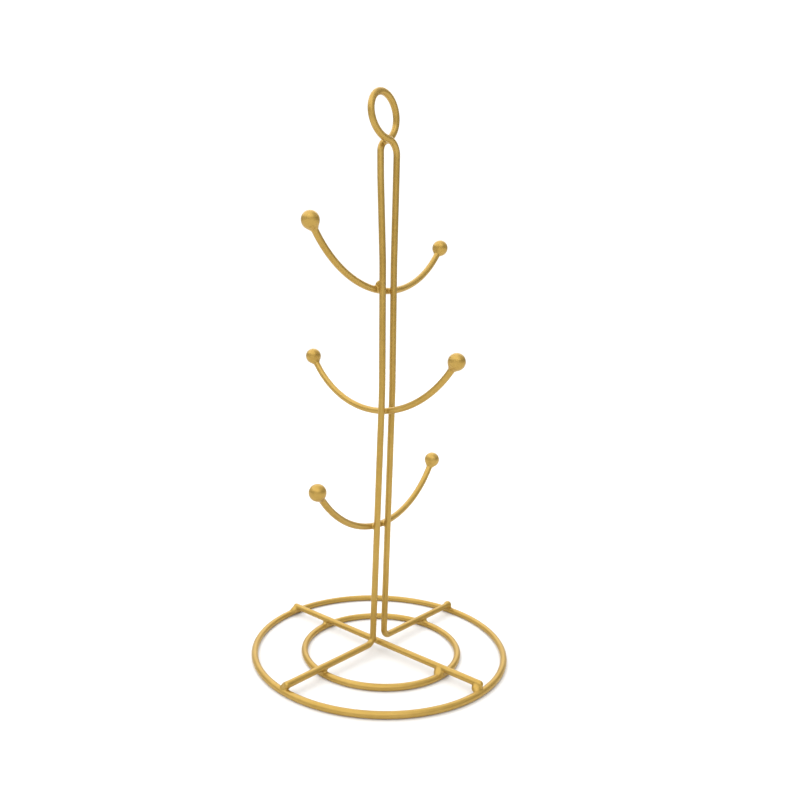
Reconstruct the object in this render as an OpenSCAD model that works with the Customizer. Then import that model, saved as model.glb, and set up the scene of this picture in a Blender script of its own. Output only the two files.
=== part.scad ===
// Mug tree: a welded wire stand with three arms that hold six mugs by their handles.
// Millimetres, Z up. The base rings rest on z = 0, and the middle of the outer ring is the origin.
// The post and its two spokes lie along Y with the front at -Y. The cross wire lies along X.

/* [Wire] */
// Diameter of every wire
wire_d = 4; // [3:0.5:4.5]
// Weld metal left between two wires where they meet
weld_gap = 0.2; // [0.1:0.1:0.4]
// Diameter of a weld bead
bead_d = 5.8; // [5:0.2:6.4]

/* [Base] */
// Outside diameter of the outer ring
base_d = 160; // [140:5:180]
// Outside diameter of the inner ring
inner_ring_d = 100; // [80:5:110]
// How far the inner ring sits off the middle, to the right and to the back
inner_ring_shift = [3, -1.5]; // [-4:0.5:4]
// How far each spoke stops short of the outer ring's outside
spoke_inset = 2.6; // [0:0.2:3]
// Bend radius where a leg of the post turns into its spoke
foot_bend_r = 5; // [4:0.5:8]

/* [Post] */
// Total height, to the top of the hanging loop
total_h = 335; // [333:1:360]
// Height of the waist, where the legs come closest
waist_z = 165; // [160:1:190]
// Height of the chest, where the legs start to part
chest_z = 240; // [236:1:250]
// Height of the shoulder, just under the neck
shoulder_z = 288; // [280:1:289]
// Distance between the legs at the foot, waist, chest and shoulder
leg_spacing = [12, 9.5, 10.2, 11.6]; // [9.4:0.1:12.5]
// Middle of the post at the foot, waist, chest and shoulder, to the right
post_x = [0.3, 1.5, 0.4, -0.3]; // [-2:0.1:2]
// Middle of the post at the foot, waist, chest and shoulder, to the back
post_y = [-1, 0.8, 0.4, -0.4]; // [-2:0.1:2]
// How far right of the back leg the front leg stands at the foot, waist, chest and shoulder
leg_twist = [1.2, 0, 0, -2]; // [-2:0.1:2]
// Distance between the legs at the neck, where they bend in towards each other under the loop
neck_spacing = 9.5; // [9:0.1:11]
// Middle of the neck, to the back
neck_y = -1.1; // [-1.5:0.1:-0.5]
// Bend radius at the neck
neck_bend_r = 8; // [5:0.5:8]

/* [Hanging loop] */
// Outside diameter of the loop
loop_d = 29.2; // [28:0.2:30]
// How far the middle of the loop sits in front of the post's axis
loop_shift = 5.6; // [5:0.1:6]
// Where the front leg's wire joins the loop, in degrees up from the back
loop_start = -62; // [-66:1:-58]
// Where the back leg's wire leaves the loop, in degrees up from the back and over the top
loop_end = 268; // [260:1:270]

/* [Arms] */
// Span of an arm, from the outside of one ball to the outside of the other
arm_span = 125; // [110:1:130]
// Bend radius of an arm
arm_bend_r = 68; // [66:1:100]
// Diameter of the ball on each arm end
ball_d = 10; // [8:0.5:12]
// Height of the bottom arm's lowest point
bottom_arm_z = 80.5; // [60:0.5:100]
// Height of the middle arm's lowest point
middle_arm_z = 152; // [120:0.5:154]
// Height of the top arm's lowest point
top_arm_z = 224; // [200:0.5:230]
// How far each arm is off centre: bottom and top to the front, middle to the right
arm_shift = [-1.6, -7.1, 1.6]; // [-8:0.1:8]
// How far each arm is rolled along its own arc, in degrees, raising its front or right end
arm_roll = [-2.4, -0.7, -0.5]; // [-4:0.1:4]

/* [Hidden] */
wire_facets = 48;
bend_facets = 96;
ring_facets = 180;
$fn = wire_facets;

gold = [0.76, 0.60, 0.26];
front = 0;
back = 1;
left = 2;
right = 3;
bottom = 0;
middle = 1;
top = 2;

wire_r = wire_d / 2;
// Distance between the centre lines of two wires that are welded together
touch = wire_d + weld_gap;
ring_z = wire_r;
spoke_z = ring_z + touch;
weld_z = ring_z + touch / 2;
spoke_reach = base_d / 2 - spoke_inset;
outer_ring_r = base_d / 2 - wire_r;
inner_ring_r = inner_ring_d / 2 - wire_r;
ball_reach = (arm_span - ball_d) / 2;
arm_half_angle = asin(ball_reach / arm_bend_r);
arm_z = [bottom_arm_z, middle_arm_z, top_arm_z];

// The two strands cross at the neck, and clear each other by this much more than other wires do.
neck_clear = 0.1;
// How far the wire moves across itself from the start of the loop to its end
loop_step = 1.12 * touch;
// Room between the cross wire and the front leg's foot, besides the weld metal
cross_clear = 0.3;
// How much nearer the middle arm is to the front leg than to the back leg
middle_arm_inset = 0.4;

// Two pieces of one wire stop this far from the seam between them, and a knuckle closes it.
seam = 0.04;
knuckle_d = wire_d + 0.04;
shortest_run = 0.3;

// Bead sizes that differ from the common one
end_bead_d = bead_d - 0.6;
foot_bead_d = bead_d + 0.8;
// How far inside the outer ring's centre line the bead at the end of a spoke lies
end_bead_inset = 0.7;
// Length of spoke that is cut out of a bead, on each side of its middle
spoke_stub = 2 * bead_d;

// Each station is a height, then the middle in X and Y and the spacing of the legs in Y and X.
leg_heights = [spoke_z, waist_z, chest_z, shoulder_z];
stations = [for (i = [0:3]) [leg_heights[i], post_x[i], post_y[i], leg_spacing[i], leg_twist[i]]];
shoulder_i = len(stations) - 1;
// The legs bow gently at the waist, chest and shoulder.
leg_bend_r = [foot_bend_r, 400, 200, 150, neck_bend_r];

// The loop is made of equal bends, and every one of them has the loop's own radius.
loop_bends = 7;
bend_angle = (loop_end - loop_start) / loop_bends;
loop_r = loop_d / 2 - wire_r;
loop_corner_r = loop_r / cos(bend_angle / 2);
loop_z = total_h - loop_d / 2;

function unit(v) = v / norm(v);
function mix(a, b, t) = a + (b - a) * t;
function way(side) = side == front || side == left ? -1 : 1;

// Centre of one leg of the post at station i
function leg_corner(i, side) =
    let (at = stations[i])
    [at[1] - way(side) * at[4] / 2, at[2] + way(side) * at[3] / 2, at[0]];

// Centre of one leg at any height z under the shoulder
function leg_at(z, side, i = 0) =
    z > stations[i + 1][0] && i < shoulder_i - 1
        ? leg_at(z, side, i + 1)
        : mix(leg_corner(i, side), leg_corner(i + 1, side),
            (z - stations[i][0]) / (stations[i + 1][0] - stations[i][0]));

// Corner i of the loop. The wire moves to the right as it goes round, so it clears itself.
function loop_corner(i) =
    let (angle = loop_start + bend_angle * (i + 0.5), across = (i / (loop_bends - 1) - 0.5) * loop_step)
    [across, -loop_shift + loop_corner_r * cos(angle), loop_z + loop_corner_r * sin(angle)];

// Corner of the wire at the neck. It lies where a tangent to the loop meets the line of the leg.
function neck_corner(side) =
    let (
        angle = side == front ? loop_start : loop_end,
        joint = [-loop_shift + loop_r * cos(angle), loop_z + loop_r * sin(angle)],
        y = neck_y + way(side) * neck_spacing / 2,
        slope = -cos(angle) / sin(angle)
    )
    [way(side) * (touch + neck_clear) / 2, y, joint[1] + (y - joint[0]) * slope];

// The cross wire lies just behind the front leg's foot.
cross_y = leg_corner(0, front)[1] + touch + cross_clear;
spoke_tips = [
    [leg_corner(0, front)[0], -spoke_reach, spoke_z],
    [leg_corner(0, back)[0], spoke_reach, spoke_z],
    [-spoke_reach, cross_y, spoke_z],
    [spoke_reach, cross_y, spoke_z]
];
inward = [[0, 1, 0], [0, -1, 0], [1, 0, 0], [-1, 0, 0]];

post_points = concat(
    [spoke_tips[front]],
    [for (i = [0:shoulder_i]) leg_corner(i, front)],
    [neck_corner(front)],
    [for (i = [0:loop_bends - 1]) loop_corner(i)],
    [neck_corner(back)],
    [for (i = [shoulder_i:-1:0]) leg_corner(i, back)],
    [spoke_tips[back]]
);
post_bend_r = concat(
    leg_bend_r,
    [for (i = [1:loop_bends]) loop_r],
    [for (i = [len(leg_bend_r) - 1:-1:0]) leg_bend_r[i]]
);

// Where a spoke crosses the inner ring, at the height of its weld
function inner_crossing(side) =
    let (tip = spoke_tips[side], off = [tip[0], tip[1]] - inner_ring_shift)
    side == front || side == back
        ? [tip[0], inner_ring_shift[1] + way(side) * sqrt(pow(inner_ring_r, 2) - pow(off[0], 2)), weld_z]
        : [inner_ring_shift[0] + way(side) * sqrt(pow(inner_ring_r, 2) - pow(off[1], 2)), tip[1], weld_z];

// The top and bottom arms lie against the left side of both legs and point to the front.
// The middle arm lies between the legs and points to the right.
function leg_beside(i, side) = leg_at(arm_z[i], side);
function arm_direction(i) =
    i == middle ? [1, 0, 0] : unit(leg_beside(i, front) - leg_beside(i, back));
function arm_anchor(i) =
    let (along = arm_direction(i), centre = (leg_beside(i, front) + leg_beside(i, back)) / 2)
    i == middle ? centre - [0, middle_arm_inset, 0] : centre + touch * [along[1], -along[0], 0];

// Point on the centre line of an arm, at an angle from the lowest point of its arc
function arm_point(i, angle) =
    arm_anchor(i) + (arm_bend_r * sin(angle) + arm_shift[i]) * arm_direction(i)
        + [0, 0, arm_bend_r * (1 - cos(angle))];

// Centre of an arm where it passes one leg of the post
function arm_at_leg(i, side) =
    let (out = (leg_beside(i, side) - arm_anchor(i)) * arm_direction(i))
    arm_point(i, asin((out - arm_shift[i]) / arm_bend_r));

// A straight piece of wire from a to b
module straight_wire(a, b) {
    run = b - a;
    translate(a)
        rotate([0, acos(run[2] / norm(run)), atan2(run[1], run[0])])
            cylinder(h = norm(run), d = wire_d);
}

// A bend of the wire at corner b, between corners a and c. Each end stops one seam short.
module wire_bend(a, b, c, r) {
    way_in = unit(b - a);
    way_out = unit(c - b);
    angle = acos(way_in * way_out);
    seam_angle = seam / r * 180 / PI;
    towards = unit(way_out - way_in * (way_in * way_out));
    centre = b - way_in * r * tan(angle / 2) + towards * r;
    x = -towards;
    y = way_in;
    z = cross(x, y);
    multmatrix([
        [x[0], y[0], z[0], centre[0]],
        [x[1], y[1], z[1], centre[1]],
        [x[2], y[2], z[2], centre[2]],
        [0, 0, 0, 1]
    ])
        rotate([0, 0, seam_angle])
            rotate_extrude(angle = angle - 2 * seam_angle, $fn = bend_facets)
                translate([r, 0])
                    circle(d = wire_d, $fn = wire_facets);
}

// Closes the seam between two pieces of one wire
module knuckle(at) {
    translate(at)
        sphere(d = knuckle_d);
}

// How much of a straight run a bend takes up on each side of its corner b
function setback(a, b, c, r) = r * tan(acos(unit(b - a) * unit(c - b)) / 2);

// A wire through a list of corners, with one bend radius for each inner corner
module bent_wire(points, radii) {
    last = len(points) - 1;
    cut = [for (i = [0:last])
        i == 0 || i == last ? 0 : setback(points[i - 1], points[i], points[i + 1], radii[i - 1])];
    for (i = [0:last - 1]) {
        along = unit(points[i + 1] - points[i]);
        start = points[i] + along * cut[i];
        end = points[i + 1] - along * cut[i + 1];
        if ((end - start) * along > shortest_run) {
            straight_wire(start + along * (i == 0 ? 0 : seam), end - along * (i == last - 1 ? 0 : seam));
            if (i > 0)
                knuckle(start);
            if (i < last - 1)
                knuckle(end);
        } else {
            knuckle((start + end) / 2);
        }
    }
    for (i = [1:last - 1])
        wire_bend(points[i - 1], points[i], points[i + 1], radii[i - 1]);
}

// A ring of the base. Its own seam is turned away from the spokes.
module ring(r, centre) {
    translate([centre[0], centre[1], ring_z])
        rotate([0, 0, 45])
            rotate_extrude($fn = ring_facets)
                translate([r, 0])
                    circle(d = wire_d, $fn = wire_facets);
}

// The curved wire of an arm
module arc_wire(i) {
    along = arm_direction(i);
    translate(arm_anchor(i) + arm_shift[i] * along + [0, 0, arm_bend_r])
        rotate([0, 0, atan2(along[1], along[0])])
            rotate([90, 0, 0])
                rotate([0, 0, -90 - arm_half_angle + arm_roll[i]])
                    rotate_extrude(angle = 2 * arm_half_angle, $fn = ring_facets)
                        translate([arm_bend_r, 0])
                            circle(d = wire_d, $fn = wire_facets);
}

module post_wire() {
    color(gold)
        bent_wire(post_points, post_bend_r);
}

module cross_wire() {
    color(gold)
        straight_wire(spoke_tips[left], spoke_tips[right]);
}

module outer_ring() {
    color(gold)
        ring(outer_ring_r, [0, 0]);
}

module inner_ring() {
    color(gold)
        ring(inner_ring_r, inner_ring_shift);
}

module arm(i) {
    color(gold)
        arc_wire(i);
}

// A ball with a blind hole that the end of its arm fills. The end is 1 where the arm points, or -1.
module ball(i, end) {
    color(gold)
        difference() {
            translate(arm_point(i, end * arm_half_angle + arm_roll[i]))
                sphere(d = ball_d);
            arc_wire(i);
        }
}

// A weld bead at a point. The children are the wires that it joins, and turn sets the bead's poles
// inside them.
module bead(at, d = bead_d, turn = [0, 0, 0]) {
    color(gold)
        difference() {
            translate(at)
                rotate(turn)
                    sphere(d = d);
            children();
        }
}

// The bead at the end of a spoke, on top of the outer ring
module outer_weld(side) {
    tip = spoke_tips[side];
    inset = spoke_reach - outer_ring_r + end_bead_inset;
    bead([tip[0], tip[1], weld_z] + inset * inward[side], end_bead_d) {
        ring(outer_ring_r, [0, 0]);
        straight_wire(tip, tip + spoke_stub * inward[side]);
    }
}

// The bead where a spoke crosses the inner ring
module inner_weld(side) {
    at = inner_crossing(side);
    on_spoke = [at[0], at[1], spoke_z];
    bead(at) {
        ring(inner_ring_r, inner_ring_shift);
        straight_wire(on_spoke - spoke_stub * inward[side], on_spoke + spoke_stub * inward[side]);
    }
}

// The bead between the cross wire and the bend at the foot of the front leg
module foot_weld() {
    corner = leg_corner(0, front);
    bend_centre = corner + [0, -foot_bend_r, foot_bend_r];
    on_cross = [corner[0], cross_y, spoke_z];
    on_bend = bend_centre + foot_bend_r * unit(on_cross - bend_centre);
    bead((on_cross + on_bend) / 2, foot_bead_d) {
        straight_wire(spoke_tips[left], spoke_tips[right]);
        wire_bend(spoke_tips[front], corner, leg_corner(1, front), foot_bend_r);
        straight_wire(corner + [0, 0, foot_bend_r], leg_corner(1, front));
    }
}

// The bead where the two strands cross at the neck
module neck_weld() {
    bead([0, (neck_corner(front)[1] + neck_y) / 2, neck_corner(back)[2]]) {
        bent_wire([loop_corner(0), neck_corner(front), leg_corner(shoulder_i, front)], [neck_bend_r]);
        bent_wire([loop_corner(loop_bends - 1), neck_corner(back), leg_corner(shoulder_i, back)],
            [neck_bend_r]);
    }
}

// The bead between an arm and one leg of the post
module arm_weld(i, side) {
    on_arm = arm_at_leg(i, side);
    on_leg = [leg_beside(i, side)[0], leg_beside(i, side)[1], on_arm[2]];
    below = i == top ? 1 : 0;
    turn = i == middle ? [90, 0, 0] : [0, 90, 0];
    bead((on_arm + on_leg) / 2, bead_d, turn) {
        arc_wire(i);
        straight_wire(leg_corner(below, side), leg_corner(below + 1, side));
    }
}

post_wire();
cross_wire();
outer_ring();
inner_ring();
arm(bottom);  // bottom_arm
arm(middle);  // middle_arm
arm(top);  // top_arm
ball(bottom, 1);  // bottom_front_ball
ball(bottom, -1);  // bottom_back_ball
ball(middle, 1);  // middle_right_ball
ball(middle, -1);  // middle_left_ball
ball(top, 1);  // top_front_ball
ball(top, -1);  // top_back_ball
outer_weld(front);  // outer_front_weld
outer_weld(back);  // outer_back_weld
outer_weld(left);  // outer_left_weld
outer_weld(right);  // outer_right_weld
inner_weld(front);  // inner_front_weld
inner_weld(back);  // inner_back_weld
inner_weld(left);  // inner_left_weld
inner_weld(right);  // inner_right_weld
foot_weld();
arm_weld(bottom, front);  // bottom_front_weld
arm_weld(bottom, back);  // bottom_back_weld
arm_weld(middle, front);  // middle_front_weld
arm_weld(middle, back);  // middle_back_weld
arm_weld(top, front);  // top_front_weld
arm_weld(top, back);  // top_back_weld
neck_weld();
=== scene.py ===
import math

import bpy
import numpy as np
from mathutils import Matrix, Vector


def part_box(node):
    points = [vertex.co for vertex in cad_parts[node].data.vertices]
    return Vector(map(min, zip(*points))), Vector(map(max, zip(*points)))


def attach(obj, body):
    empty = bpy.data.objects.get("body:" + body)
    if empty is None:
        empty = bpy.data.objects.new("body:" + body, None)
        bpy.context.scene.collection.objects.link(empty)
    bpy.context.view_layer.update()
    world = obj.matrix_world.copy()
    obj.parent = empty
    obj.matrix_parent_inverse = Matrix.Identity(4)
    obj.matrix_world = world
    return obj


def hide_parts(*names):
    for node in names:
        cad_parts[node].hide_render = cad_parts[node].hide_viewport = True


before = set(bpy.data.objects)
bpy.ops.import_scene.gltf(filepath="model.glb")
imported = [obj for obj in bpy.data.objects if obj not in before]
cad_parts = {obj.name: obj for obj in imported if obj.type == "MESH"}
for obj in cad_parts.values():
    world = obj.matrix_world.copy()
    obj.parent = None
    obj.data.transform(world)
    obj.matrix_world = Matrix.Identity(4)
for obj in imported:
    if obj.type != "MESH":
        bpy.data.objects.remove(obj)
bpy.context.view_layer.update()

# ---------------------------------------------------------------------------------------------
# Sizes, in metres. They are the driving dimensions of the CAD part, and fit() tests each wire
# that is made from them against its CAD node.
# ---------------------------------------------------------------------------------------------
MM = 0.001
front, back, left, right = 0, 1, 2, 3
bottom, middle, top = 0, 1, 2


def mm(*values):
    return np.array(values, float) * MM


WIRE_D = 4.0 * MM
WIRE_R = WIRE_D / 2
# The wires are drawn this much thinner, which keeps them inside the box of the CAD model's mesh
SKIN = 0.02 * MM
TOUCH = WIRE_D + 0.2 * MM
BASE_R = 80.0 * MM
SPOKE_REACH = BASE_R - 2.6 * MM
RING_Z = WIRE_R
SPOKE_Z = RING_Z + TOUCH
WELD_Z = RING_Z + TOUCH / 2
INNER_RING_R = 50.0 * MM - WIRE_R
INNER_RING_AT = mm(3.0, -1.5)
CROSS_CLEAR = 0.3 * MM

# Foot, waist, chest and shoulder of the post: height, middle in X and Y, spacing in Y and in X
STATIONS = mm(
    [SPOKE_Z / MM, 0.3, -1.0, 12.0, 1.2],
    [165.0, 1.5, 0.8, 9.5, 0.0],
    [240.0, 0.4, 0.4, 10.2, 0.0],
    [288.0, -0.3, -0.4, 11.6, -2.0],
)
LEG_BEND_R = mm(5.0, 400.0, 200.0, 150.0, 8.0)
NECK_SPACING, NECK_Y, NECK_CLEAR = mm(9.5, -1.1, 0.1)

TOTAL_H, LOOP_D, LOOP_SHIFT = mm(335.0, 29.2, 5.6)
LOOP_START, LOOP_END = math.radians(-62), math.radians(268)
LOOP_BENDS = 7
LOOP_BEND = (LOOP_END - LOOP_START) / LOOP_BENDS
LOOP_R = LOOP_D / 2 - WIRE_R
LOOP_Z = TOTAL_H - LOOP_D / 2
LOOP_STEP = 1.12 * TOUCH

BALL_R = 5.0 * MM
ARM_BEND_R = 68.0 * MM
ARM_HALF_ANGLE = math.asin((62.5 * MM - BALL_R) / ARM_BEND_R)
ARM_Z = mm(80.5, 152.0, 224.0)
ARM_SHIFT = mm(-1.6, -7.1, 1.6)
ARM_ROLL = np.radians([-2.4, -0.7, -0.5])
MIDDLE_ARM_INSET = 0.4 * MM

# Points of a path that are closer together than this count as one
SHORTEST_STEP = 0.1 * MM
# How far a wire's box may be off the box of its CAD node
FIT_SLACK = 0.35 * MM


# ---------------------------------------------------------------------------------------------
# Where the wires run
# ---------------------------------------------------------------------------------------------
def unit(v):
    return v / np.linalg.norm(v)


def way(side):
    return -1 if side in (front, left) else 1


def leg_corner(i, side):
    z, x, y, spacing, twist = STATIONS[i]
    return np.array([x - way(side) * twist / 2, y + way(side) * spacing / 2, z])


def leg_at(z, side):
    i = max(k for k in range(3) if k == 0 or z > STATIONS[k][0])
    a, b = leg_corner(i, side), leg_corner(i + 1, side)
    return a + (b - a) * (z - a[2]) / (b[2] - a[2])


def loop_corner(i):
    angle = LOOP_START + LOOP_BEND * (i + 0.5)
    corner_r = LOOP_R / math.cos(LOOP_BEND / 2)
    return np.array([(i / (LOOP_BENDS - 1) - 0.5) * LOOP_STEP,
                     -LOOP_SHIFT + corner_r * math.cos(angle), LOOP_Z + corner_r * math.sin(angle)])


def neck_corner(side):
    """Where a tangent to the loop meets the line of the leg."""
    angle = LOOP_START if side == front else LOOP_END
    y = NECK_Y + way(side) * NECK_SPACING / 2
    slope = -math.cos(angle) / math.sin(angle)
    z = LOOP_Z + LOOP_R * math.sin(angle) + (y + LOOP_SHIFT - LOOP_R * math.cos(angle)) * slope
    return np.array([way(side) * (TOUCH + NECK_CLEAR) / 2, y, z])


def bent_path(points, radii, turn=math.radians(3)):
    """Centre line of a wire through corners, with one bend radius for each inner corner."""
    path = [points[0]]
    for a, b, c, r in zip(points[:-2], points[1:-1], points[2:], radii):
        way_in, way_out = unit(b - a), unit(c - b)
        angle = math.acos(np.clip(way_in @ way_out, -1, 1))
        towards = unit(way_out - way_in * (way_in @ way_out))
        start = b - way_in * r * math.tan(angle / 2)
        centre = start + towards * r
        steps = max(2, math.ceil(angle / turn))
        for k in range(steps + 1):
            t = angle * k / steps
            path.append(centre - towards * r * math.cos(t) + way_in * r * math.sin(t))
    path.append(points[-1])
    clear = [path[0]]
    for point in path[1:]:
        if np.linalg.norm(point - clear[-1]) > SHORTEST_STEP:
            clear.append(point)
    return np.array(clear)


def arm_direction(i):
    if i == middle:
        return np.array([1.0, 0.0, 0.0])
    return unit(leg_at(ARM_Z[i], front) - leg_at(ARM_Z[i], back))


def arm_anchor(i):
    along = arm_direction(i)
    centre = (leg_at(ARM_Z[i], front) + leg_at(ARM_Z[i], back)) / 2
    if i == middle:
        return centre - np.array([0, MIDDLE_ARM_INSET, 0])
    return centre + TOUCH * np.array([along[1], -along[0], 0])


def arm_point(i, angle):
    return (arm_anchor(i) + (ARM_BEND_R * math.sin(angle) + ARM_SHIFT[i]) * arm_direction(i)
            + np.array([0, 0, ARM_BEND_R * (1 - math.cos(angle))]))


def arm_at_leg(i, side):
    out = (leg_at(ARM_Z[i], side) - arm_anchor(i)) @ arm_direction(i)
    return arm_point(i, math.asin((out - ARM_SHIFT[i]) / ARM_BEND_R))


def circle(centre, r, steps):
    """A ring of the base. It starts between two spokes, well away from every weld."""
    t = np.linspace(0, 2 * math.pi, steps, endpoint=False) + math.pi / 4
    return np.c_[centre[0] + r * np.cos(t), centre[1] + r * np.sin(t), np.full(steps, RING_Z)]


cross_y = leg_corner(0, front)[1] + TOUCH + CROSS_CLEAR
tips = [
    np.array([leg_corner(0, front)[0], -SPOKE_REACH, SPOKE_Z]),
    np.array([leg_corner(0, back)[0], SPOKE_REACH, SPOKE_Z]),
    np.array([-SPOKE_REACH, cross_y, SPOKE_Z]),
    np.array([SPOKE_REACH, cross_y, SPOKE_Z]),
]
inward = [np.array(v, float) for v in ([0, 1, 0], [0, -1, 0], [1, 0, 0], [-1, 0, 0])]

loop_corners = [loop_corner(i) for i in range(LOOP_BENDS)]
post_path = bent_path(
    [tips[front]] + [leg_corner(i, front) for i in range(4)] + [neck_corner(front)] + loop_corners
    + [neck_corner(back)] + [leg_corner(i, back) for i in (3, 2, 1, 0)] + [tips[back]],
    [*LEG_BEND_R, *[LOOP_R] * LOOP_BENDS, *LEG_BEND_R[::-1]])
highest = int(post_path[:, 2].argmax())
front_strand, back_strand = post_path[:highest + 1], post_path[highest:]
cross_path = np.array([tips[left], tips[right]])
outer_path = circle((0, 0), BASE_R - WIRE_R, 192)
inner_path = circle(INNER_RING_AT, INNER_RING_R, 144)
arm_sweep = np.linspace(-ARM_HALF_ANGLE, ARM_HALF_ANGLE, 73)
arm_paths = [np.array([arm_point(i, ARM_ROLL[i] + t) for t in arm_sweep])
             for i in (bottom, middle, top)]


# ---------------------------------------------------------------------------------------------
# Mesh making
# ---------------------------------------------------------------------------------------------
def make(name, verts, faces, node):
    """A smooth piece that stands for one CAD node."""
    mesh = bpy.data.meshes.new(name)
    mesh.from_pydata(np.asarray(verts).tolist(), [], [list(map(int, f)) for f in faces])
    mesh.validate()
    mesh.update()
    mesh.polygons.foreach_set("use_smooth", np.ones(len(mesh.polygons), bool))
    piece = bpy.data.objects.new(name, mesh)
    bpy.context.collection.objects.link(piece)
    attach(piece, "root")
    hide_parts(node)
    return piece


def fit(piece, node):
    """Stops the script if a piece isn't where its CAD node is."""
    verts = np.empty(len(piece.data.vertices) * 3)
    piece.data.vertices.foreach_get("co", verts)
    verts = verts.reshape(-1, 3)
    low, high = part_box(node)
    off = max(np.abs(verts.min(0) - low).max(), np.abs(verts.max(0) - high).max())
    if off > FIT_SLACK:
        raise ValueError(f"{node} is {off / MM:.2f} mm off its CAD node")


def long_steps(path, longest=3 * MM):
    """The path with points added on its straight runs."""
    out = [path[0]]
    for a, b in zip(path[:-1], path[1:]):
        steps = max(1, math.ceil(np.linalg.norm(b - a) / longest))
        out += [a + (b - a) * k / steps for k in range(1, steps + 1)]
    return np.array(out)


def rounded_ends(path, edge):
    """A wire's path and the radius at each point. Its ends are cut square, with rounded edges."""
    a = np.linspace(0, math.pi / 2, 7)
    run, radius = edge * (1 - np.cos(a)), WIRE_R - SKIN - edge * (1 - np.sin(a))
    start = path[0] + run[:, None] * unit(path[1] - path[0])
    end = path[-1] + run[:, None] * unit(path[-2] - path[-1])
    core = [p for p in path[1:-1]
            if min(np.linalg.norm(p - path[0]), np.linalg.norm(p - path[-1])) > 1.3 * edge]
    return (np.concatenate([start, core, end[::-1]]),
            np.concatenate([radius, np.full(len(core), WIRE_R - SKIN), radius[::-1]]))


def sweep(path, closed=False, edge=0.8 * MM, sides=32):
    """Vertices and faces of a round wire along a path."""
    if closed:
        radii = np.full(len(path), WIRE_R - SKIN)
        along = np.roll(path, -1, 0) - np.roll(path, 1, 0)
    else:
        path, radii = rounded_ends(path, edge)
        along = np.gradient(path, axis=0)
    along = along / np.linalg.norm(along, axis=1)[:, None]
    # One side direction is carried along the path with as little twist as it can have
    side = np.cross(along[0], [0.3, 0.2, 1.0])
    sides_at = []
    for tangent in along:
        side = unit(side - tangent * (side @ tangent))
        sides_at.append(side)
    twist = 0.0
    if closed:
        end = unit(side - along[0] * (side @ along[0]))
        twist = math.atan2(np.cross(end, sides_at[0]) @ along[0], end @ sides_at[0])
    n = len(path)
    t = np.linspace(0, 2 * math.pi, sides, endpoint=False)
    rows = []
    for i in range(n):
        a = (t + twist * i / n)[:, None]
        up = np.cross(along[i], sides_at[i])
        rows.append(path[i] + radii[i] * (np.cos(a) * sides_at[i] + np.sin(a) * up))
    faces = []
    for i in range(n if closed else n - 1):
        j = (i + 1) % n
        for k in range(sides):
            m = (k + 1) % sides
            faces.append((i * sides + k, i * sides + m, j * sides + m, j * sides + k))
    if not closed:
        faces.append(tuple(range(sides))[::-1])
        faces.append(tuple((n - 1) * sides + k for k in range(sides)))
    return np.concatenate(rows), faces


def surface_net(field, low, step):
    """Closed quad mesh of the surface field = 0 on a grid. The field is below zero inside."""
    inside = field < 0
    cells = tuple(s - 1 for s in field.shape)
    total = np.zeros((*cells, 3))
    count = np.zeros(cells)
    for axis in range(3):
        across = [k for k in range(3) if k != axis]
        for u in (0, 1):
            for v in (0, 1):
                offset = [0, 0, 0]
                offset[across[0]], offset[across[1]] = u, v
                far = list(offset)
                far[axis] = 1
                a = tuple(slice(o, o + c) for o, c in zip(offset, cells))
                b = tuple(slice(o, o + c) for o, c in zip(far, cells))
                cut = inside[a] != inside[b]
                t = np.where(cut, field[a] / np.where(cut, field[a] - field[b], 1), 0)
                total += cut[..., None] * np.array(offset, float)
                total[..., axis] += t
                count += cut
    live = count > 0
    number = np.full(cells, -1)
    number[live] = np.arange(live.sum())
    verts = low + step * (np.stack(np.nonzero(live), -1) + total[live] / count[live][:, None])
    faces = []
    for axis, (u, v) in enumerate(((1, 2), (2, 0), (0, 1))):
        near_end = [slice(1, s - 1) for s in field.shape]
        near_end[axis] = slice(0, field.shape[axis] - 1)
        far_end = list(near_end)
        far_end[axis] = slice(1, field.shape[axis])
        here, there = inside[tuple(near_end)], inside[tuple(far_end)]
        for mask, turn in ((here & ~there, 1), (~here & there, -1)):
            at = np.stack(np.nonzero(mask), -1) + [0 if k == axis else 1 for k in range(3)]
            quad = []
            for du, dv in ((-1, -1), (0, -1), (0, 0), (-1, 0)):
                cell = at.copy()
                cell[:, u] += du
                cell[:, v] += dv
                quad.append(number[cell[:, 0], cell[:, 1], cell[:, 2]])
            faces.append(np.stack(quad[::turn], -1))
    return verts, np.concatenate(faces)


def distance_to(path, points):
    """Distance from each point to a line of straight pieces."""
    best = np.full(len(points), 1e9)
    for a, b in zip(path[:-1], path[1:]):
        run = b - a
        t = np.clip((points - a) @ run / (run @ run), 0, 1)
        best = np.minimum(best, np.linalg.norm(points - a - t[:, None] * run, axis=1))
    return best


def near(path, centre, reach):
    """The stretch of a path within reach of a point, round the path's nearest place to it."""
    path = long_steps(path, 1 * MM)
    far = np.linalg.norm(path - centre, axis=1)
    start = end = int(far.argmin())
    while start > 0 and far[start - 1] < reach:
        start -= 1
    while end < len(path) - 1 and far[end + 1] < reach:
        end += 1
    return path[start:end + 1]


def smooth_min(a, b, k):
    h = np.maximum(k - np.abs(a - b), 0) / np.maximum(k, 1e-9)
    return np.minimum(a, b) - h * h * k / 4


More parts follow.
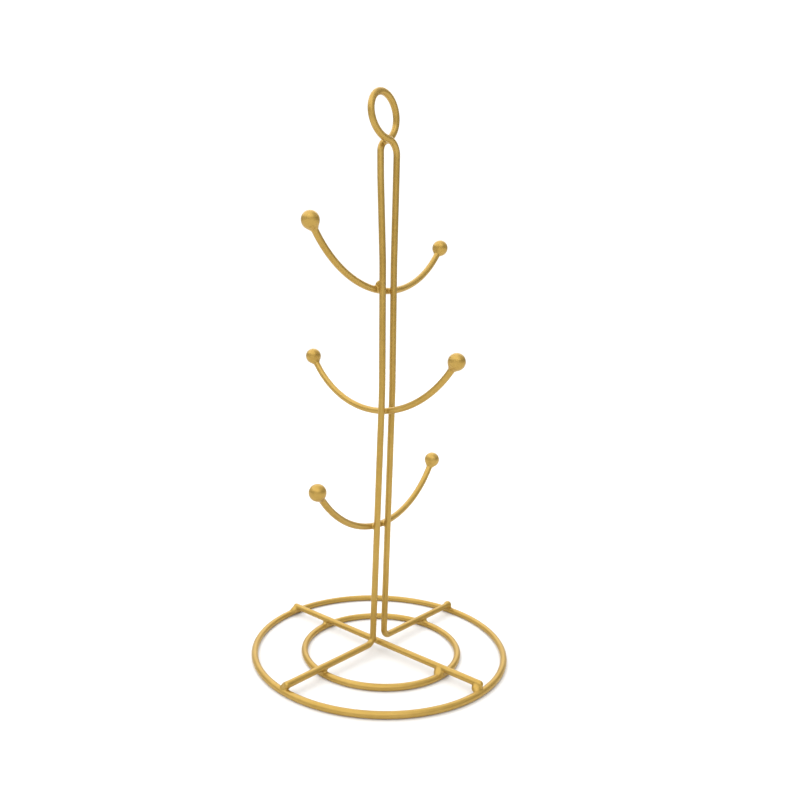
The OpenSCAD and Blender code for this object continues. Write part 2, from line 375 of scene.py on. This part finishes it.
def fill_pinches(field, depth):
    """Fills each grid square whose diagonal corners match, where two sheets would share an edge."""
    found = True
    while found:
        found = False
        for u, v in ((0, 1), (1, 2), (2, 0)):
            corners = []
            for du, dv in ((0, 0), (1, 1), (1, 0), (0, 1)):
                part = [slice(None)] * 3
                part[u] = slice(du, field.shape[u] - 1 + du)
                part[v] = slice(dv, field.shape[v] - 1 + dv)
                corners.append(field[tuple(part)])
            a, b, c, d = [corner < 0 for corner in corners]
            pinched = (a == b) & (c == d) & (a != c)
            for corner in corners:
                corner[pinched & (corner >= 0)] = -depth
            found = found or bool(pinched.any())
    return field


def blob(field, low, high, step):
    """Closed mesh of a field, with its vertices moved onto the surface."""
    n = np.ceil((high - low) / step).astype(int) + 1
    lines = [low[k] + step * np.arange(n[k]) for k in range(3)]
    grid = np.stack(np.meshgrid(*lines, indexing="ij"), -1)
    values = fill_pinches(field(grid.reshape(-1, 3)).reshape(tuple(n)), step / 50)
    verts, faces = surface_net(values, low, step)
    h = step / 4
    for _ in range(2):
        value = field(verts)
        slope = np.stack([(field(verts + h * e) - field(verts - h * e)) / (2 * h)
                          for e in np.eye(3)], -1)
        move = -value[:, None] * slope / np.maximum((slope * slope).sum(1), 0.1)[:, None]
        length = np.linalg.norm(move, axis=1, keepdims=True)
        verts = verts + move * np.minimum(1, 0.6 * step / np.maximum(length, 1e-12))
    return verts, faces


# ---------------------------------------------------------------------------------------------
# Wires
# ---------------------------------------------------------------------------------------------
CROSS_EDGE = 1.2 * MM
pieces = {
    "post_wire": make("post_wire_bent", *sweep(long_steps(post_path)), "post_wire"),
    "cross_wire": make("cross_wire_straight", *sweep(long_steps(cross_path), edge=CROSS_EDGE),
                       "cross_wire"),
    "outer_ring": make("outer_ring_wire", *sweep(outer_path, closed=True), "outer_ring"),
    "inner_ring": make("inner_ring_wire", *sweep(inner_path, closed=True), "inner_ring"),
}
for i, name in enumerate(("bottom_arm", "middle_arm", "top_arm")):
    pieces[name] = make(name + "_wire", *sweep(arm_paths[i]), name)
for node, piece in pieces.items():
    fit(piece, node)

# ---------------------------------------------------------------------------------------------
# Balls: each one runs out a little onto its wire
# ---------------------------------------------------------------------------------------------
# Where a ball or a weld runs out on a wire, it ends this far under the wire's skin
SUNK = 0.06 * MM
BALL_STEP = 0.3 * MM
WELD_STEP = 0.25 * MM
# How far from its centre a ball runs onto the wire, how wide the blend is and how it fades
COLLAR_REACH, COLLAR_FLOW, COLLAR_FADE = mm(8.6, 2.2, 3.0)


def ball(i, end, node):
    centre = arm_point(i, end * ARM_HALF_ANGLE + ARM_ROLL[i])
    wire = near(arm_paths[i], centre, COLLAR_REACH + 2.4 * MM)

    def field(p):
        out = np.linalg.norm(p - centre, axis=1)
        flow = COLLAR_FLOW * np.clip((COLLAR_REACH - out) / COLLAR_FADE, 0, 1)
        both = smooth_min(out - BALL_R, distance_to(wire, p) - WIRE_R + SUNK, flow)
        return np.maximum(both, out - COLLAR_REACH)

    span = COLLAR_REACH + 2 * BALL_STEP
    return make(node + "_pressed", *blob(field, centre - span, centre + span, BALL_STEP), node)


for i, end, node in ((bottom, 1, "bottom_front_ball"), (bottom, -1, "bottom_back_ball"),
                     (middle, 1, "middle_right_ball"), (middle, -1, "middle_left_ball"),
                     (top, 1, "top_front_ball"), (top, -1, "top_back_ball")):
    pieces[node] = ball(i, end, node)


# ---------------------------------------------------------------------------------------------
# Welds: metal that has run into the corners between two wires
# ---------------------------------------------------------------------------------------------
# The blend of a weld's lump with the rest, and the height and the wave numbers of its ripples
LUMP_FLOW = 2.8 * MM
RIPPLE = 0.03 * MM
RIPPLE_WAVES = (3900, 4300, 3500)


def ripples(p, phase):
    waves = [np.sin(p[:, k] * RIPPLE_WAVES[k] + turn)
             for k, turn in enumerate((phase, 2 * phase, 0))]
    return waves[0] * waves[1] * waves[2]


def weld(node, at, wires, flow, reach=6.0, lean=(0, 0, 0), lumps=()):
    """A fillet round the point at. flow is how far the metal runs out and reach where it ends.

    lean moves its thickest part, and each lump is an offset from at and a radius, all in mm.
    """
    thick = at + mm(*lean)
    lines = [near(w, at, (reach + 5) * MM) for w in wires]
    lumps = [(at + mm(*offset), r * MM) for offset, r in lumps]
    phase = float(abs(at[0] * 731 + at[1] * 517 + at[2] * 389)) % 6.28

    def field(p):
        away = np.linalg.norm(p - thick, axis=1) / (reach * MM)
        k = flow * MM * np.clip(1.25 - away * 1.25, 0, 1) ** 0.7
        d = distance_to(lines[0], p) - WIRE_R + SUNK
        for line in lines[1:]:
            d = smooth_min(d, distance_to(line, p) - WIRE_R + SUNK, k)
        for centre, r in lumps:
            d = smooth_min(d, np.linalg.norm(p - centre, axis=1) - r, LUMP_FLOW)
        d = d - RIPPLE * ripples(p, phase) * np.clip(1 - away, 0, 1)
        d = np.maximum(d, np.hypot(p[:, 0], p[:, 1]) - BASE_R + SUNK)
        return np.maximum(d, np.linalg.norm(p - at, axis=1) - (reach + 0.8) * MM)

    box = (reach + 1.8) * MM
    return make(node + "_fillet", *blob(field, at - box, at + box, WELD_STEP), node)


outer_line = np.vstack([outer_path, outer_path[:1]])
inner_line = np.vstack([inner_path, inner_path[:1]])


def inner_crossing(side):
    along = 1 if side in (front, back) else 0
    off = tips[side][1 - along] - INNER_RING_AT[1 - along]
    point = tips[side].copy()
    point[along] = INNER_RING_AT[along] + way(side) * math.sqrt(INNER_RING_R ** 2 - off ** 2)
    point[2] = WELD_Z
    return point


names = ["front", "back", "left", "right"]
spokes = [front_strand, back_strand, cross_path, cross_path]
outer_flow = [4.6, 3.2, 4.8, 6.0]
outer_lean = [(-4.2, 0.4, 0.3), (1.4, -0.8, 0), (0.2, -2.8, 0), (-2.4, -2.6, 0)]
outer_lumps = [[((-2.6, 0.6, 0.7), 1.4)], [((-0.2, -0.2, 2.3), 2.1)], [((0.6, -2.6, -0.2), 1.6)],
               [((-1.8, -2.2, -0.6), 1.2)]]
inner_flow = [3.8, 3.8, 3.8, 6.0]
inner_lean = [(-1.8, 0.6, 0), (1.8, 0.4, 0), (-0.4, -1.8, 0), (-1.6, -2.4, 0)]
inner_lumps = [[], [], [], [((-1.8, -2.2, -0.6), 1.2)]]
# How far inside a spoke's cut end the round cap of its weld has its centre
cap_inset = mm(0.2, 1.2, 0.9, 0.9)
WELD_INSET = 0.8 * MM
STUB = 20 * MM
for side in (front, back, left, right):
    at = tips[side] + inward[side] * WELD_INSET
    at[2] = WELD_Z
    stub = np.array([tips[side] + inward[side] * run for run in (cap_inset[side], STUB)])
    node = f"outer_{names[side]}_weld"
    pieces[node] = weld(node, at, [outer_line, stub], outer_flow[side], lean=outer_lean[side],
                        lumps=outer_lumps[side])
    node = f"inner_{names[side]}_weld"
    pieces[node] = weld(node, inner_crossing(side), [inner_line, spokes[side]], inner_flow[side],
                        lean=inner_lean[side], lumps=inner_lumps[side])

foot = leg_corner(0, front)
foot_at = np.array([foot[0], (foot[1] + cross_y) / 2 + 0.3 * MM, SPOKE_Z + 1.2 * MM])
pieces["foot_weld"] = weld("foot_weld", foot_at, [cross_path, front_strand], flow=4.3, reach=4.6,
                           lean=(-0.6, 0, -0.3))

neck_at = np.array([0, (neck_corner(front)[1] + NECK_Y) / 2, neck_corner(back)[2]])
pieces["neck_weld"] = weld("neck_weld", neck_at, [front_strand, back_strand], flow=3.4, reach=5.0)

LEG_STRETCH = 15 * MM
for i, name in enumerate(("bottom", "middle", "top")):
    for side in (front, back):
        on_arm = arm_at_leg(i, side)
        on_leg = leg_at(ARM_Z[i], side)
        at = (on_arm + np.array([on_leg[0], on_leg[1], on_arm[2]])) / 2
        leg = np.array([leg_at(at[2] + rise, side) for rise in (-LEG_STRETCH, LEG_STRETCH)])
        # A spare drop of metal stands on the weld of the top arm at the front leg
        lumps = [((-1.0, -0.9, 3.6), 1.0)] if (i, side) == (top, front) else []
        node = f"{name}_{names[side]}_weld"
        # The back leg stands clear of the middle arm, so more metal bridges that gap
        flow = 4.2 if (i, side) == (middle, back) else 2.6
        pieces[node] = weld(node, at, [arm_paths[i], leg], flow, reach=4.6, lumps=lumps)


# ---------------------------------------------------------------------------------------------
# Paint: satin gold with fine metal flake in it
# ---------------------------------------------------------------------------------------------
def gold_paint():
    mat = bpy.data.materials.new("gold_paint_satin")
    mat.use_nodes = True
    nodes, links = mat.node_tree.nodes, mat.node_tree.links
    shader = nodes["Principled BSDF"]
    coord = nodes.new("ShaderNodeTexCoord")

    def noise(scale, detail, rough=0.5):
        n = nodes.new("ShaderNodeTexNoise")
        n.inputs["Scale"].default_value = scale
        n.inputs["Detail"].default_value = detail
        n.inputs["Roughness"].default_value = rough
        links.new(coord.outputs["Object"], n.inputs["Vector"])
        return n.outputs["Fac"]

    def ramp(value, stops):
        r = nodes.new("ShaderNodeValToRGB")
        while len(r.color_ramp.elements) < len(stops):
            r.color_ramp.elements.new(0.5)
        for element, (place, colour) in zip(r.color_ramp.elements, stops):
            element.position = place
            element.color = (*colour, 1)
        links.new(value, r.inputs["Fac"])
        return r.outputs["Color"]

    def multiply(factor, a, b):
        m = nodes.new("ShaderNodeMix")
        m.data_type = "RGBA"
        m.blend_type = "MULTIPLY"
        m.inputs["Factor"].default_value = factor
        links.new(a, m.inputs["A"])
        links.new(b, m.inputs["B"])
        return m.outputs["Result"]

    def spread(value, low, high):
        m = nodes.new("ShaderNodeMapRange")
        m.inputs["From Min"].default_value = 0.3
        m.inputs["From Max"].default_value = 0.7
        m.inputs["To Min"].default_value = low
        m.inputs["To Max"].default_value = high
        links.new(value, m.inputs["Value"])
        return m.outputs["Result"]

    def bump(height, strength, distance, under=None):
        b = nodes.new("ShaderNodeBump")
        b.inputs["Strength"].default_value = strength
        b.inputs["Distance"].default_value = distance
        links.new(height, b.inputs["Height"])
        if under is not None:
            links.new(under, b.inputs["Normal"])
        return b.outputs["Normal"]

    cloud, mottle = noise(55, 3), noise(420, 4)
    flake = nodes.new("ShaderNodeTexVoronoi")
    flake.inputs["Scale"].default_value = 5200
    links.new(coord.outputs["Object"], flake.inputs["Vector"])

    white = (1.0, 1.0, 1.0)
    colour = ramp(cloud, [(0.30, (0.445, 0.280, 0.057)), (0.52, (0.478, 0.306, 0.067)),
                          (0.72, (0.505, 0.330, 0.079))])
    patches = ramp(mottle, [(0.35, (0.93, 0.92, 0.90)), (0.65, white)])
    flakes = ramp(flake.outputs["Color"], [(0.2, (0.92, 0.91, 0.89)), (0.8, white)])
    colour = multiply(0.6, multiply(0.8, colour, patches), flakes)
    links.new(colour, shader.inputs["Base Color"])
    links.new(spread(mottle, 0.33, 0.42), shader.inputs["Roughness"])
    shader.inputs["Metallic"].default_value = 0.6
    peel = bump(noise(900, 2), 0.16, 0.12 * MM)
    links.new(bump(noise(4200, 2), 0.08, 0.04 * MM, peel), shader.inputs["Normal"])
    return mat


paint = gold_paint()
for piece in pieces.values():
    piece.data.materials.append(paint)

# ---------------------------------------------------------------------------------------------
# Floor, light and camera
# ---------------------------------------------------------------------------------------------
FLOOR_R = 6.0
floor_mesh = bpy.data.meshes.new("floor")
floor_mesh.from_pydata([(-FLOOR_R, -FLOOR_R, 0), (FLOOR_R, -FLOOR_R, 0), (FLOOR_R, FLOOR_R, 0),
                        (-FLOOR_R, FLOOR_R, 0)], [], [(0, 1, 2, 3)])
floor = bpy.data.objects.new("floor", floor_mesh)
bpy.context.collection.objects.link(floor)
floor_mat = bpy.data.materials.new("floor_white")
floor_mat.use_nodes = True
floor_shader = floor_mat.node_tree.nodes["Principled BSDF"].inputs
floor_shader["Base Color"].default_value = (0.84, 0.84, 0.84, 1)
floor_shader["Roughness"].default_value = 0.9
floor_shader["Specular IOR Level"].default_value = 0.0
floor_mesh.materials.append(floor_mat)

# The camera stands at the photograph's viewing angle, in front and to the right of the tree.
CAMERA_AZIMUTH = math.radians(40.674)
CAMERA_AWAY = 0.3781
CAMERA_HEIGHT = 0.18635
CAMERA_PITCH = math.radians(7.509)
CAMERA_YAW = math.radians(-1.320)
CAMERA_ROLL = math.radians(1.119)

turn = Matrix.Rotation(CAMERA_AZIMUTH, 3, "Z")
forward = turn @ Vector((math.sin(CAMERA_YAW) * math.cos(CAMERA_PITCH),
                         math.cos(CAMERA_YAW) * math.cos(CAMERA_PITCH), -math.sin(CAMERA_PITCH)))
level = forward.cross(Vector((0, 0, 1))).normalized()
upright = level.cross(forward)
x_axis = level * math.cos(CAMERA_ROLL) + upright * math.sin(CAMERA_ROLL)
y_axis = upright * math.cos(CAMERA_ROLL) - level * math.sin(CAMERA_ROLL)
camera_data = bpy.data.cameras.new("camera")
camera = bpy.data.objects.new("camera", camera_data)
bpy.context.collection.objects.link(camera)
place = turn @ Vector((0, -CAMERA_AWAY, CAMERA_HEIGHT))
camera.matrix_world = Matrix((
    (x_axis.x, y_axis.x, -forward.x, place.x),
    (x_axis.y, y_axis.y, -forward.y, place.y),
    (x_axis.z, y_axis.z, -forward.z, place.z),
    (0, 0, 0, 1),
))
camera_data.sensor_width = 36
camera_data.lens = 28.06
camera_data.shift_x = 0.0384
camera_data.shift_y = 0.0454
camera_data.clip_start = 0.01
bpy.context.scene.camera = camera
bpy.context.scene.view_settings.view_transform = "Standard"

# The studio is the sky: a dim room with large soft patches of light in it. A patch has a direction,
# as degrees to the right of the backdrop and degrees up, a radius and a soft edge in degrees, and
# its strength.
ROOM = 0.12
DARKEST = 0.38
PATCHES = [
    ("ceiling", 0, 90, 62, 8, 1.85),
    ("camera_side", 180, 8, 34, 18, 0.72),
    ("left_wall", -90, 8, 42, 18, 0.35),
    ("backdrop", 0, 2, 42, 8, 1.0),
    ("right_flag", 88, 44, 30, 14, -1.15),
]


def studio():
    world = bpy.data.worlds.new("studio")
    world.use_nodes = True
    nodes, links = world.node_tree.nodes, world.node_tree.links
    sky = nodes["Background"]
    sky.inputs["Color"].default_value = (1, 1, 1, 1)
    direction = nodes.new("ShaderNodeTexCoord").outputs["Generated"]
    total = None
    for name, across, up, radius, edge, strength in PATCHES:
        a, e = CAMERA_AZIMUTH - math.radians(across), math.radians(up)
        dot = nodes.new("ShaderNodeVectorMath")
        dot.operation = "DOT_PRODUCT"
        dot.inputs[1].default_value = (-math.sin(a) * math.cos(e), math.cos(a) * math.cos(e),
                                       math.sin(e))
        links.new(direction, dot.inputs[0])
        glow = nodes.new("ShaderNodeMapRange")
        glow.name = name
        glow.interpolation_type = "SMOOTHSTEP"
        glow.inputs["From Min"].default_value = math.cos(math.radians(radius + edge))
        glow.inputs["From Max"].default_value = math.cos(math.radians(radius - edge))
        glow.inputs["To Min"].default_value = ROOM if total is None else 0.0
        glow.inputs["To Max"].default_value = strength + (ROOM if total is None else 0.0)
        links.new(dot.outputs["Value"], glow.inputs["Value"])
        if total is None:
            total = glow.outputs["Result"]
        else:
            add = nodes.new("ShaderNodeMath")
            links.new(total, add.inputs[0])
            links.new(glow.outputs["Result"], add.inputs[1])
            total = add.outputs["Value"]
    # The flag takes light away, but the sky stays at least this bright
    limit = nodes.new("ShaderNodeMath")
    limit.operation = "MAXIMUM"
    limit.inputs[1].default_value = DARKEST
    links.new(total, limit.inputs[0])
    links.new(limit.outputs["Value"], sky.inputs["Strength"])
    return world


bpy.context.scene.world = studio()
